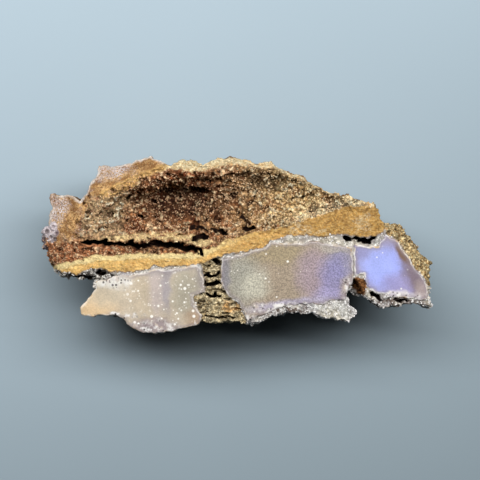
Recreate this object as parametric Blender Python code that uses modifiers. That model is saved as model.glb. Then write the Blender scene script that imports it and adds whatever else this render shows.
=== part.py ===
"""Chalcedony seam in porous rock: one natural stone, sawn across its top and lying on its broken flat.

Run with: blender --background --python part.py
Metres, +Z up. +X runs along the seam and +Z out of the sawn face. The origin is on the floor, under the stone's middle.
"""

import math

import bmesh
import bpy
from mathutils import Matrix, Vector

MM = 0.001

# Driving dimensions, in millimetres.
STONE_HEIGHT = 32.0  # from the broken flat that it rests on to the sawn face
SKIN_ALLOWANCE = 2.0  # rock above the sawn face and below the flat, until the last two cuts take it off
PLAN_CENTRE = (0.0, 0.0)  # middle of the outline's box, which becomes the origin
WEATHERING_DEPTH = 2.4  # how far the rough skin moves in and out
WEATHERING_SIZE = 7.0  # across one lump of the rough skin
REMESH_SIZE = 1.1  # side of the remesh's voxels
TRIANGLE_SHARE = 0.24  # what Decimate keeps of the remeshed skin

# The stone's outline seen from above, in order: the ragged upper rim from left to right, the crust down the
# right end, then the lower edge of the seam back to the left, with the cleft between two lobes on the way.
PLAN_OUTLINE = [
    (-50.5, 13.0), (-46.5, 13.0), (-42.0, 11.5), (-40.5, 13.0), (-39.5, 16.5), (-37.5, 21.0),
    (-31.0, 21.5), (-23.5, 24.0), (-19.0, 21.5), (-15.0, 23.0), (-10.0, 21.0), (-2.0, 24.0),
    (4.5, 22.0), (8.0, 22.0), (13.5, 19.5), (22.0, 15.5), (26.0, 14.0), (30.5, 13.0),
    (37.0, 10.5), (39.5, 5.0), (43.0, 5.0), (45.5, 3.0), (50.5, -3.5), (52.5, -4.5),
    (52.0, -9.0), (52.0, -16.5), (45.5, -16.0), (39.5, -17.0), (35.5, -15.0), (31.5, -9.5),
    (29.0, -14.0), (32.5, -18.5), (30.0, -20.5), (23.5, -20.0), (20.0, -18.5), (13.0, -18.5),
    (9.5, -19.5), (4.0, -21.5), (0.5, -21.0), (-10.0, -21.5), (-18.5, -23.5), (-25.5, -24.0),
    (-30.0, -21.5), (-31.0, -20.0), (-42.0, -19.5), (-42.5, -17.5), (-38.5, -13.0), (-38.5, -9.5),
    (-47.0, -9.0), (-50.5, -5.0), (-52.5, 1.5), (-50.0, 7.0),
]

# Weathered hollow in the rock above the seam: centre, half sizes and turn in plan, one row for each bowl.
HOLLOWS = [
    ((-13.0, 9.0, STONE_HEIGHT + 1.0), (24.0, 8.5, 13.0), 6.0),
    ((15.0, 9.5, STONE_HEIGHT + 1.0), (19.0, 5.5, 8.0), -4.0),
]

# Flat breaks: a point on the break and the way that it faces. Rock beyond it is gone. Four take the corners
# off round the sawn face, and the others draw the underside in, as on a stone broken from its vein.
BREAKS = {
    "break_behind_left": ((-28.0, 18.0, STONE_HEIGHT), (-0.35, 0.62, 0.70)),
    "break_left_end": ((-39.0, 6.0, STONE_HEIGHT), (-0.50, 0.18, 0.85)),
    "break_right_end": ((41.0, 4.0, STONE_HEIGHT), (0.55, 0.45, 0.70)),
    "break_behind": ((6.0, 19.5, STONE_HEIGHT), (0.12, 0.80, 0.59)),
    "break_under_front_left": ((-22.0, -22.0, 10.0), (-0.18, -0.66, -0.73)),
    "break_under_front_right": ((24.0, -19.0, 13.0), (0.26, -0.76, -0.59)),
    "break_under_left": ((-46.0, 2.0, 12.0), (-0.78, -0.12, -0.61)),
    "break_under_right": ((47.0, -8.0, 13.0), (0.74, 0.16, -0.65)),
    "break_under_behind_left": ((-30.0, 20.0, 9.0), (-0.25, 0.80, -0.55)),
    "break_under_behind_right": ((20.0, 14.5, 10.0), (0.22, 0.78, -0.59)),
}
CUTTER_SIZE = 160.0  # side of the blocks that make the breaks and the two flats


def clear_scene():
    for old in list(bpy.data.objects):
        bpy.data.objects.remove(old)


def new_collection(name):
    made = bpy.data.collections.new(name)
    bpy.context.scene.collection.children.link(made)
    return made


def move_to(collection, thing):
    for old in list(thing.users_collection):
        old.objects.unlink(thing)
    collection.objects.link(thing)


def make_helper(thing, name, collection):
    """Names a cutter and keeps it out of the finished stone."""
    thing.name = name
    thing.hide_render = True
    thing.display_type = "WIRE"
    move_to(collection, thing)
    return thing


def closed_mesh_from_curve(curve_object, collection):
    """The curve as a mesh object of the same name, with its loose caps welded on."""
    graph = bpy.context.evaluated_depsgraph_get()
    mesh = bpy.data.meshes.new_from_object(curve_object.evaluated_get(graph))
    shell = bmesh.new()
    shell.from_mesh(mesh)
    bmesh.ops.remove_doubles(shell, verts=shell.verts, dist=0.00001)
    bmesh.ops.recalc_face_normals(shell, faces=shell.faces)
    shell.to_mesh(mesh)
    shell.free()
    solid = bpy.data.objects.new(curve_object.name + "_solid", mesh)
    solid.matrix_world = curve_object.matrix_world
    collection.objects.link(solid)
    bpy.data.objects.remove(curve_object)
    return solid


def slab_from_outline(collection):
    """The outline from above, drawn through the stone's whole height and the skin that is cut off later."""
    plan = bpy.data.curves.new("plan", "CURVE")
    plan.dimensions = "2D"
    plan.fill_mode = "BOTH"
    plan.extrude = (STONE_HEIGHT / 2 + SKIN_ALLOWANCE) * MM
    edge = plan.splines.new("POLY")
    edge.points.add(len(PLAN_OUTLINE) - 1)
    for point, (x, y) in zip(edge.points, PLAN_OUTLINE):
        point.co = ((x - PLAN_CENTRE[0]) * MM, (y - PLAN_CENTRE[1]) * MM, 0, 1)
    edge.use_cyclic_u = True
    drawn = bpy.data.objects.new("slab", plan)
    drawn.location.z = STONE_HEIGHT / 2 * MM
    collection.objects.link(drawn)
    bpy.context.view_layer.update()
    return closed_mesh_from_curve(drawn, collection)


def bowl_cutter(number, centre, half_sizes, turn, collection):
    bpy.ops.mesh.primitive_uv_sphere_add(segments=32, ring_count=16, radius=1)
    bowl = make_helper(bpy.context.object, f"hollow_{number}", collection)
    bowl.data.transform(Matrix.Diagonal((*[size * MM for size in half_sizes], 1)))
    bowl.location = Vector(centre) * MM
    bowl.rotation_euler.z = math.radians(turn)
    return bowl


def block_cutter(name, point, facing, collection):
    """A large block whose near face lies on the point, square to the way that the break faces."""
    bpy.ops.mesh.primitive_cube_add(size=CUTTER_SIZE * MM)
    block = make_helper(bpy.context.object, name, collection)
    way = Vector(facing).normalized()
    block.rotation_mode = "QUATERNION"
    block.rotation_quaternion = way.to_track_quat("Z", "Y")
    block.location = (Vector(point) + way * CUTTER_SIZE / 2) * MM
    return block


def boolean(target, operation, other, solver="EXACT"):
    cut = target.modifiers.new(other.name, "BOOLEAN")
    cut.operation = operation
    cut.solver = solver
    cut.object = other


def roughen(stone):
    """An even skin of small faces, moved in and out by lumps, then thinned to what the shape needs."""
    even = stone.modifiers.new("even_skin", "REMESH")
    even.mode = "VOXEL"
    even.voxel_size = REMESH_SIZE * MM
    lumps = bpy.data.textures.new("weathering", "CLOUDS")
    lumps.noise_scale = WEATHERING_SIZE * MM
    lumps.noise_depth = 2
    rough = stone.modifiers.new("weathering", "DISPLACE")
    rough.texture = lumps
    rough.texture_coords = "LOCAL"
    rough.strength = WEATHERING_DEPTH * MM
    rough.mid_level = 0.5
    thin = stone.modifiers.new("thinned", "DECIMATE")
    thin.ratio = TRIANGLE_SHARE


def stone_material():
    look = bpy.data.materials.new("ochre_rock")
    look.use_nodes = True
    shader = look.node_tree.nodes["Principled BSDF"]
    shader.inputs["Base Color"].default_value = (0.42, 0.27, 0.15, 1)
    shader.inputs["Roughness"].default_value = 0.85
    shader.inputs["Metallic"].default_value = 0.0
    return look


def make_stone(parts, helpers):
    stone = slab_from_outline(parts)
    stone.name = "chalcedony_stone"
    for number, (centre, half_sizes, turn) in enumerate(HOLLOWS, 1):
        boolean(stone, "DIFFERENCE", bowl_cutter(number, centre, half_sizes, turn, helpers))
    for name, (point, facing) in BREAKS.items():
        boolean(stone, "DIFFERENCE", block_cutter(name, point, facing, helpers))
    roughen(stone)
    saw = block_cutter("saw_cut", (0, 0, STONE_HEIGHT), (0, 0, 1), helpers)
    floor = block_cutter("resting_flat", (0, 0, 0), (0, 0, -1), helpers)
    # The thinned skin is closed but its faces cross here and there, which EXACT can't cut.
    boolean(stone, "DIFFERENCE", saw, "MANIFOLD")
    boolean(stone, "DIFFERENCE", floor, "MANIFOLD")
    stone.data.materials.append(stone_material())
    return stone


clear_scene()
stone_parts = new_collection("chalcedony")
cutters = new_collection("cutters")
make_stone(stone_parts, cutters)
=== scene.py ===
import math

import bpy
import numpy as np
import openvdb
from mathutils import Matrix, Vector


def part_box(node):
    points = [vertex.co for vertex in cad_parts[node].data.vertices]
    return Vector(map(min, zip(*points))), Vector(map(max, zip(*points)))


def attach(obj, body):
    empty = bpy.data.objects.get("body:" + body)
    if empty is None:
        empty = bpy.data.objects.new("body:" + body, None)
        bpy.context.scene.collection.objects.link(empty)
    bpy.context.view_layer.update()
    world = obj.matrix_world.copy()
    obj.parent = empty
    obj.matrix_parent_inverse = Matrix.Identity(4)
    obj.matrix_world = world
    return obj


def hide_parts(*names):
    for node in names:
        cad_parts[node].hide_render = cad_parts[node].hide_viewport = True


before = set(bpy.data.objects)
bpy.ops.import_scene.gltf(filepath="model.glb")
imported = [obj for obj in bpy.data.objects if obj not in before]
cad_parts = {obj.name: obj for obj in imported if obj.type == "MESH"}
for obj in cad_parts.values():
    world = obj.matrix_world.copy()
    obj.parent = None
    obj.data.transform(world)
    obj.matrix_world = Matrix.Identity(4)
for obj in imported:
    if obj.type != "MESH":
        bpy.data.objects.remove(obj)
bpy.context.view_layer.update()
mm = 0.001

# Every length below is in millimetres, in the frame of the solid stone. The plan is the view down on the sawn
# face, with x along the seam and y up the photograph.

# the stone as a whole
stone = {
    "node": "chalcedony_stone",
    "outline": [
        (-50.5, 13.0), (-46.5, 13.0), (-42.0, 11.5), (-40.5, 13.0), (-39.5, 16.5), (-37.5, 21.0),
        (-31.0, 21.5), (-23.5, 24.0), (-19.0, 21.5), (-15.0, 23.0), (-10.0, 21.0), (-2.0, 24.0),
        (4.5, 22.0), (8.0, 22.0), (13.5, 19.5), (22.0, 15.5), (26.0, 14.0), (30.5, 13.0),
        (37.0, 10.5), (39.5, 5.0), (43.0, 5.0), (45.5, 3.0), (50.5, -3.5), (52.5, -4.5),
        (52.0, -9.0), (52.0, -16.5), (45.5, -16.0), (39.5, -17.0), (35.5, -15.0), (31.5, -9.5),
        (29.0, -14.0), (32.5, -18.5), (30.0, -20.5), (23.5, -20.0), (20.0, -18.5), (13.0, -18.5),
        (9.5, -19.5), (4.0, -21.5), (0.5, -21.0), (-10.0, -21.5), (-18.5, -23.5), (-25.5, -24.0),
        (-30.0, -21.5), (-31.0, -20.0), (-42.0, -19.5), (-42.5, -17.5), (-38.5, -13.0), (-38.5, -9.5),
        (-47.0, -9.0), (-50.5, -5.0), (-52.5, 1.5), (-50.0, 7.0),
    ],
    "raggedEdge": [(0.45, 2.6), (0.2, 1.0)],  # how far the outline wanders, and over what length
    "breaks": [  # a point on the break, and the way that it faces
        ((-28.0, 18.0, 32.0), (-0.35, 0.62, 0.70)),
        ((-39.0, 6.0, 32.0), (-0.50, 0.18, 0.85)),
        ((41.0, 4.0, 32.0), (0.55, 0.45, 0.70)),
        ((6.0, 19.5, 32.0), (0.12, 0.80, 0.59)),
        ((-22.0, -22.0, 10.0), (-0.18, -0.66, -0.73)),
        ((24.0, -19.0, 13.0), (0.26, -0.76, -0.59)),
        ((-46.0, 2.0, 12.0), (-0.78, -0.12, -0.61)),
        ((47.0, -8.0, 13.0), (0.74, 0.16, -0.65)),
        ((-30.0, 20.0, 9.0), (-0.25, 0.80, -0.55)),
        ((20.0, 14.5, 10.0), (0.22, 0.78, -0.59)),
    ],
    "hollows": [  # centre, half sizes, turn in plan, and how far it leans back for each mm of depth
        ((-13.0, 9.2, 34.0), (25.5, 9.4, 9.5), 5.0, 0.0),
        ((-18.0, 10.2, 31.0), (13.5, 4.6, 11.0), 4.0, 0.3),
        ((13.0, 12.2, 34.0), (19.5, 6.4, 7.5), -13.0, 0.15),
    ],
    "lumps": (0.9, 0.4, 0.16),  # how far the large, middling and small lumps stand in and out
    "rockBelowSaw": 0.15,  # the softer rock lies this much below the polished lobes
    "notch": ((33.2, -11.0, 24.5), 3.0),  # brown rock deep in the cleft between two lobes, and its radius
}
stone["height"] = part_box(stone["node"])[1].z / mm

# the three lobes of the seam, outlined on the sawn face
lobes = {
    "chalcedony_left_lobe": [
        (-15.8, -23.1), (-19.1, -23.7), (-22.3, -24.2), (-25.6, -24.0), (-28.2, -23.1), (-29.8, -21.7),
        (-30.6, -20.2), (-32.3, -19.4), (-37.4, -19.4), (-41.0, -19.6), (-42.4, -18.8), (-42.4, -17.1),
        (-39.7, -14.2), (-38.5, -12.2), (-38.1, -10.0), (-35.4, -9.6), (-33.1, -8.6), (-28.2, -8.3),
        (-24.3, -7.2), (-22.3, -6.7), (-18.1, -7.0), (-16.4, -6.4), (-14.1, -6.4), (-11.2, -5.7),
        (-10.0, -6.7), (-9.2, -10.0), (-8.9, -13.0), (-12.0, -13.9), (-11.5, -16.5), (-9.6, -19.1),
        (-9.7, -20.4), (-10.6, -21.7),
    ],
    "chalcedony_middle_lobe": [
        (-4.1, -3.7), (0.6, -3.0), (3.1, -2.1), (7.5, -0.8), (9.2, 0.6), (11.4, 0.3), (16.3, 0.1),
        (21.0, 1.0), (22.9, 0.4), (25.7, -0.1), (28.5, -0.7), (30.9, -0.5), (31.15, -4.5), (31.4, -7.3),
        (31.6, -9.2), (31.0, -10.6), (29.8, -12.3), (29.3, -13.9), (28.6, -15.2), (25.4, -15.2),
        (22.9, -16.4), (17.4, -16.1), (11.9, -16.9), (9.2, -18.0), (5.3, -19.7), (2.3, -21.2),
        (1.5, -18.0), (0.1, -15.6), (-3.0, -13.4), (-4.1, -11.4), (-4.6, -10.0), (-4.3, -5.9),
    ],
    "chalcedony_right_lobe": [
        (31.2, -0.4), (33.7, 0.0), (35.3, -0.7), (38.4, -0.6), (39.0, 1.2), (39.9, 2.6), (41.4, 1.6),
        (43.4, 0.7), (44.9, -1.9), (46.3, -3.3), (47.1, -5.5), (48.3, -7.0), (49.7, -8.5),
        (50.7, -9.8), (51.4, -11.6), (51.7, -13.6), (51.4, -15.1), (48.7, -15.0), (45.6, -14.4),
        (42.8, -14.4), (41.2, -14.6), (40.4, -13.6), (37.9, -13.6), (36.1, -12.4), (34.9, -11.4),
        (34.4, -9.4), (34.3, -8.2), (32.9, -8.3), (32.0, -8.9), (31.6, -7.2), (31.35, -4.5),
    ],
}
lobeShape = {
    "bottom": 13.0,  # height that the lobes reach down to, inside the stone
    "raggedEdge": [(0.3, 1.9), (0.12, 0.7)],
    "voxel": 0.3,
    "rockOverlap": 0.35,  # how far a lobe reaches into the rock round it
    "skinBelow": -0.35,  # how far the lobe's own side lies within the stone's, near the sawn face
    "coveredBelow": (26.0, 20.0),  # heights between which the rock comes to cover that side
    "coveredBy": 2.2,
    "bareEdge": 1.6,  # how far the rock is set back where the lobe itself is the stone's edge
    "bareHeights": (22, 27),  # heights between which that begins
}

# the ochre band between the seam and the porous rock: its lower and upper edges, from left to right
band = {
    "lower": [
        (-53.0, -6.6), (-49.8, -6.8), (-42.9, -8.2), (-39.4, -6.5), (-32.4, -7.5), (-28.9, -7.8),
        (-22.0, -6.1), (-14.3, -5.8), (-10.1, -5.4), (-5.9, -4.0), (-3.1, -2.9), (2.5, -1.9),
        (6.6, -0.9), (8.7, 0.9), (12.2, 1.9), (19.9, 2.6), (23.4, 1.9), (26.9, 2.8), (34.5, 1.7),
        (38.0, 2.3), (39.8, 4.0), (42.0, 6.5),
    ],
    "upper": [
        (-53.0, -6.0), (-49.8, -5.8), (-46.4, -5.4), (-37.3, -3.3), (-26.8, -2.6), (-17.1, -2.9),
        (-11.5, -2.9), (-8.0, -1.6), (-4.5, 0.2), (2.5, 2.6), (9.5, 4.0), (16.4, 5.4), (19.9, 6.8),
        (26.9, 9.3), (33.9, 10.3), (38.0, 10.0), (42.0, 9.5),
    ],
}

# the zones of the rock, outlined in plan; each has a softness in mm
zones = {
    "sponge": (0.35, [
        (38.0, 9.5), (30.0, 12.4), (25.0, 13.4), (16.9, 17.3), (8.8, 20.6), (-2.0, 21.6), (-10.1, 19.4),
        (-18.8, 20.3), (-26.3, 18.2), (-32.3, 15.1), (-36.5, 12.6), (-40.8, 12.2), (-42.6, 6.5), (-43.0, 2.6),
        (-48.2, 0.8), (-53.0, 1.6), (-53.0, -6.0), (-49.8, -5.8), (-46.4, -5.4), (-37.3, -3.3),
        (-26.8, -2.6), (-11.5, -2.9), (-8.0, -1.6), (-4.5, 0.2), (2.5, 2.6), (9.5, 4.0), (16.4, 5.4),
        (19.9, 6.8), (26.9, 9.3), (33.9, 10.3),
    ]),
    "layers": (0.35, [
        (-10.4, -5.4), (-4.0, -3.6), (-4.6, -9.0), (-4.0, -11.6), (-1.6, -14.6), (1.0, -16.8),
        (2.4, -22.5), (-4.5, -23.0), (-10.6, -23.0), (-10.2, -18.0), (-12.6, -13.9), (-8.8, -13.2),
        (-9.0, -9.0),
    ]),
    "rightCrust": (0.35, [
        (39.6, 6.0), (44.0, 6.0), (47.0, 3.0), (51.0, -2.5), (55.0, -4.5), (55.0, -12.5), (51.3, -11.2),
        (50.5, -9.6), (48.2, -6.9), (46.9, -5.2), (46.1, -3.1), (44.7, -1.7), (43.3, 0.9), (41.2, 1.9),
        (40.0, 2.9),
    ]),
    "tanBreak": (0.5, [
        (-41.4, 11.6), (-41.5, 16.6), (-38.6, 22.8), (-31.0, 24.0), (-23.3, 26.0), (-18.0, 22.5),
        (-20.0, 20.8), (-27.0, 18.4), (-33.0, 15.4), (-38.5, 11.4),
    ]),
    "leftBreak": (0.6, [
        (-53.0, 15.0), (-41.8, 13.0), (-39.5, 11.0), (-40.0, 8.5), (-42.0, 6.5), (-41.5, 3.2), (-42.7, 1.4),
        (-48.4, 0.0), (-51.6, 3.4), (-53.0, 8.0),
    ]),
    "cleft": (0.4, [
        (31.6, -9.4), (34.4, -9.2), (35.4, -11.6), (34.0, -13.8), (32.0, -13.6), (31.0, -11.0),
    ]),
    "bareLobe": (0.5, [
        (-45.0, -11.8), (-36.0, -12.6), (-31.0, -17.5), (-18.0, -20.5), (-9.5, -21.2), (-9.5, -26.0),
        (-45.0, -26.0),
    ]),
    "frostAbove": (0.9, [
        (-38.2, 22.5), (-29.5, 23.0), (-29.5, 20.4), (-32.5, 18.2), (-36.0, 16.8), (-39.0, 16.6),
    ]),
    "frostLeft": (0.9, [
        (-51.0, 13.2), (-46.5, 13.2), (-44.8, 10.8), (-46.5, 6.0), (-48.8, 4.6), (-51.0, 6.5),
    ]),
    "paleStep": (0.4, [
        (-36.9, 14.0), (-32.8, 16.2), (-28.2, 18.4), (-24.2, 20.1), (-19.6, 21.9), (-17.6, 21.2),
        (-21.0, 19.6), (-24.2, 18.0), (-28.5, 15.6), (-32.8, 13.0), (-36.0, 12.6),
    ]),
    "underBand": (0.35, [
        (-50.0, -7.2), (-42.0, -8.0), (-39.0, -6.9), (-34.0, -7.2), (-32.6, -8.4), (-38.0, -10.4),
        (-47.5, -9.6),
    ]),
    "olive": (2.0, [
        (-43.0, 5.0), (-42.5, 9.0), (-39.5, 13.0), (-33.0, 15.5), (-29.0, 13.5), (-31.0, 9.0), (-31.5, 4.0),
        (-33.5, 1.8), (-41.0, 1.8),
    ]),
    "redLeft": (1.0, [
        (-53.0, 0.2), (-44.0, 1.2), (-38.5, 0.9), (-33.0, 0.2), (-33.0, -2.4), (-41.0, -3.4), (-47.0, -4.8),
        (-53.0, -5.6),
    ]),
    "ledge": (0.5, [
        (-39.0, 1.1), (-31.0, 1.2), (-27.0, 0.9), (-22.0, 1.2), (-18.0, 1.1), (-13.0, 0.3), (-9.0, -0.9),
        (-6.0, 0.4), (-8.5, 1.5), (-12.0, 2.6), (-19.0, 3.4), (-30.0, 2.8),
    ]),
}
rockMasks = (
    "sponge", "layers", "rightCrust", "breaks", "frost", "paleStep", "underBand", "olive", "redLeft", "ledge",
    "cleft", "seam", "band", "rim", "aboveBand", "outline",
)

# cracks and holes, carved in and given painted shade so that they show black: a line in plan, half width,
# depth, and how much the width varies
voids = [
    ([(-40.5, 0.4), (-35.0, 0.3), (-31.0, 0.1), (-26.7, -0.5), (-22.5, 0.0), (-18.5, -0.1), (-14.5, -0.9),
      (-9.5, -2.0)], 0.85, 7.0, 0.5),
    ([(-12.2, 1.5), (-10.5, 1.8), (-8.8, 2.2)], 0.85, 7.0, 0.2),
    ([(-12.6, 4.9), (-10.5, 4.4), (-8.5, 4.0)], 0.6, 6.0, 0.3),
    ([(-7.0, 3.9), (-5.5, 3.7), (-2.8, 3.1)], 0.55, 6.0, 0.4),
    ([(2.2, 4.1), (4.2, 4.5)], 0.62, 6.0, 0.2),
    ([(1.3, 7.4), (1.9, 6.9)], 0.6, 5.0, 0.2),
    ([(29.2, 1.4), (30.6, 1.2)], 0.62, 5.0, 0.3),
    ([(31.8, 1.5), (33.6, 0.9), (36.0, 0.7), (37.2, 1.4)], 0.68, 6.0, 0.3),
    ([(-6.1, -4.9), (-5.2, -5.0)], 0.7, 6.0, 0.15),
    ([(-9.8, -5.9), (-7.6, -5.8)], 0.28, 3.0, 0.15),
    ([(-8.9, -8.6), (-6.8, -8.5), (-4.9, -8.2)], 0.5, 5.0, 0.2),
    ([(-9.2, -10.4), (-7.2, -11.0), (-5.2, -10.7)], 0.6, 5.0, 0.2),
    ([(-8.2, -13.6), (-6.6, -13.9), (-4.8, -13.8)], 0.55, 5.0, 0.2),
    ([(-10.5, -16.2), (-8.0, -16.4)], 0.25, 2.0, 0.2),
    ([(-9.4, -19.5), (-5.0, -19.9), (-0.8, -20.0)], 0.32, 4.0, 0.2),
    ([(-44.5, -9.0), (-41.5, -8.8), (-38.6, -9.0)], 0.45, 4.0, 0.4),
    ([(-37.6, -8.0), (-35.5, -7.9)], 0.45, 4.0, 0.3),
    ([(36.2, -13.4), (37.2, -14.0), (38.6, -14.9)], 0.6, 4.0, 0.3),
    ([(40.6, -15.3), (43.4, -15.2), (46.4, -15.5)], 0.35, 3.0, 0.5),
]

# small hollow nodules on the far left end: centre and radius
leftNodules = [
    ((-51.2, 3.4, 24.6), 1.5), ((-52.0, 1.2, 23.6), 1.35), ((-50.0, 1.8, 25.6), 1.25),
    ((-49.4, 4.6, 26.0), 1.1), ((-51.4, -0.8, 23.4), 1.2), ((-48.6, 2.9, 26.6), 0.9),
]
# a ball cut out of each: how far above the nodule's centre and how large, as shares of its radius
noduleMouth = {"raised": 0.6, "radius": 0.5}

# the textures that shape the rock: kind, size of a lump along x, y and z, and detail
rockTextures = {
    "largeLumps": ("noise", (7.0, 7.0, 7.0), 0),
    "lumps": ("noise", (2.8, 2.8, 2.8), 0),
    "smallLumps": ("noise", (1.1, 1.1, 1.1), 0),
    "pits": ("noise", (1.9, 1.9, 1.9), 1.6),
    "streaks": ("noise", (3.6, 0.95, 1.7), 1.4),
    "crumbs": ("cells", (0.92, 0.92, 0.92), 0),
    "grapes": ("cells", (2.3, 2.3, 2.3), 0),
    "pockets": ("noise", (4.2, 4.2, 4.2), 1.0),
}

# how the surface of each zone is set back: by crumbs, by larger grapes, and by pits between them
relief = {
    "sponge": (1.5, 1.2, 2.8),
    "olive": (0.0, 0.2, 0.9),
    "layers": (0.7, 0.2, 2.0),
    "rightCrust": (1.0, 0.5, 2.0),
    "underBand": (0.8, 0.6, 1.4),
    "rim": (0.6, 0.6, 0.7),
    "seam": (0.55, 0.7, 0.3),
    "band": (0.45, 0.25, 0.5),
    "breaks": (0.2, 0.1, 0.1),
}
lowRelief = (0.6, 0.5, 0.8)  # the same three for every zone, low on the sides and underneath
pores = {
    "cellMean": 0.45,  # the middling value of a cell texture, about which crumbs stand in and out
    "open": (0.12, 0.75),  # the values of the pits' noise between which a pit opens
    "pocketDepth": 1.6,
    "lowHeights": (21, 15),  # heights between which the low relief takes over
    "floorPits": 1.2,  # how uneven the floor of a crack is
    "raggedCrack": (0.7, 0.25),  # how far crumbs and pits move the edge of a crack
}


def treeNode(tree, kind, inputs=None, **settings):
    made = tree.nodes.new(kind)
    for name, value in settings.items():
        setattr(made, name, value)
    for name, value in (inputs or {}).items():
        if isinstance(value, bpy.types.NodeSocket):
            tree.links.new(value, made.inputs[name])
        else:
            made.inputs[name].default_value = value
    return made


def geometryTree(name):
    tree = bpy.data.node_groups.new(name, "GeometryNodeTree")
    tree.interface.new_socket("Geometry", in_out="INPUT", socket_type="NodeSocketGeometry")
    tree.interface.new_socket("Geometry", in_out="OUTPUT", socket_type="NodeSocketGeometry")
    return tree, tree.nodes.new("NodeGroupInput"), tree.nodes.new("NodeGroupOutput")


def readStored(thing, tree, names):
    # runs a node tree on a mesh and reads what it stored at the points
    worker = thing.modifiers.new("worker", "NODES")
    worker.node_group = tree
    mesh = thing.evaluated_get(bpy.context.evaluated_depsgraph_get()).data
    found = {}
    for name in names:
        found[name] = np.empty(len(mesh.vertices), np.float32)
        mesh.attributes[name].data.foreach_get("value", found[name])
    thing.modifiers.remove(worker)
    bpy.data.node_groups.remove(tree)
    return found


noiseSpread = 3.2  # brings Blender's noise, which is about 0.2 to 0.8, to about -1 to 1


def texturesAt(points, textures):
    # Blender's own noise (about -1 to 1) and cells (0 at a centre) at each point
    cloud = bpy.data.meshes.new("sample_points")
    cloud.vertices.add(len(points))
    cloud.vertices.foreach_set("co", np.ascontiguousarray(points, np.float32).ravel())
    holder = bpy.data.objects.new("sample_points", cloud)
    bpy.context.scene.collection.objects.link(holder)
    tree, entry, result = geometryTree("sample_textures")
    place = treeNode(tree, "GeometryNodeInputPosition").outputs[0]
    carried = entry.outputs[0]
    for seed, (name, (kind, size, detail)) in enumerate(textures.items()):
        moved = treeNode(
            tree, "ShaderNodeVectorMath",
            {0: place, 1: (31.7 * seed + 0.3, 17.9, 11.3 * seed)}, operation="ADD",
        )
        sized = treeNode(tree, "ShaderNodeVectorMath", {0: moved.outputs[0], 1: size}, operation="DIVIDE")
        if kind == "noise":
            inputs = {"Vector": sized.outputs[0], "Scale": 1, "Detail": detail}
            value = treeNode(tree, "ShaderNodeTexNoise", inputs).outputs[0]
        else:
            inputs = {"Vector": sized.outputs[0], "Scale": 1}
            value = treeNode(tree, "ShaderNodeTexVoronoi", inputs).outputs["Distance"]
        kept = treeNode(
            tree, "GeometryNodeStoreNamedAttribute", {"Geometry": carried, "Name": name, "Value": value}
        )
        carried = kept.outputs[0]
    tree.links.new(carried, result.inputs[0])
    found = readStored(holder, tree, textures)
    bpy.data.objects.remove(holder)
    bpy.data.meshes.remove(cloud)
    for name, (kind, *_) in textures.items():
        if kind == "noise":
            found[name] = (found[name] - 0.5) * noiseSpread
    return found


def ease(value, start, end):
    # 0 at start, 1 at end, and smooth between
    t = np.clip((value - start) / (end - start), 0, 1)
    return t * t * (3 - 2 * t)


def segmentsFrom(line, x, y):
    for (ax, ay), (bx, by) in zip(line, line[1:]):
        dx, dy = bx - ax, by - ay
        along = np.clip(((x - ax) * dx + (y - ay) * dy) / (dx * dx + dy * dy), 0, 1)
        yield ax, ay, dx, dy, (x - ax - along * dx) ** 2 + (y - ay - along * dy) ** 2


def lineDistance(line, x, y):
    # how far a point of the plan is from an open line
    return np.sqrt(np.minimum.reduce([away for *_, away in segmentsFrom(line, x, y)]))


def ballDistance(x, y, z, centre, radius):
    # how far a point is outside a ball
    return np.sqrt(sum((v - c) ** 2 for v, c in zip((x, y, z), centre))) - radius


def outlineDistance(outline, x, y):
    # how far a point of the plan is outside the outline, below 0 inside
    nearest = np.full(np.shape(x), 1e9, np.float32)
    inside = np.zeros(np.shape(x), bool)
    for ax, ay, dx, dy, away in segmentsFrom(outline + outline[:1], x, y):
        nearest = np.minimum(nearest, away)
        if dy:
            inside ^= ((ay > y) != (ay + dy > y)) & (x < dx * (y - ay) / dy + ax)
    return np.where(inside, -1, 1) * np.sqrt(nearest)


# the plan is drawn once on a fine grid, and read from there at any point
planGrid = {"low": (-57.0, -29.0), "counts": (760, 387), "step": 0.15}


def gridPoints():
    x, y = (low + np.arange(n) * planGrid["step"] for low, n in zip(planGrid["low"], planGrid["counts"]))
    x, y = np.meshgrid(x, y, indexing="ij")
    return x.ravel().astype(np.float32), y.ravel().astype(np.float32)


def wandered(x, y, steps, level):
    # the plan's points moved a little to and fro, so that a line drawn with them is ragged
    points = np.stack([x, y, np.full_like(x, level)], 1)
    textures = {}
    for number, (depth, size) in enumerate(steps):
        textures[f"x{number}"] = ("noise", (size, size, size), 0)
        textures[f"y{number}"] = ("noise", (size, size, size), 0)
    moves = texturesAt(points, textures)
    for number, (depth, size) in enumerate(steps):
        x = x + depth * moves[f"x{number}"]
        y = y + depth * moves[f"y{number}"]
    return x, y


def edgeHeight(edge, x):
    spots, heights = zip(*edge)
    return np.interp(x, spots, heights).astype(np.float32)


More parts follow.
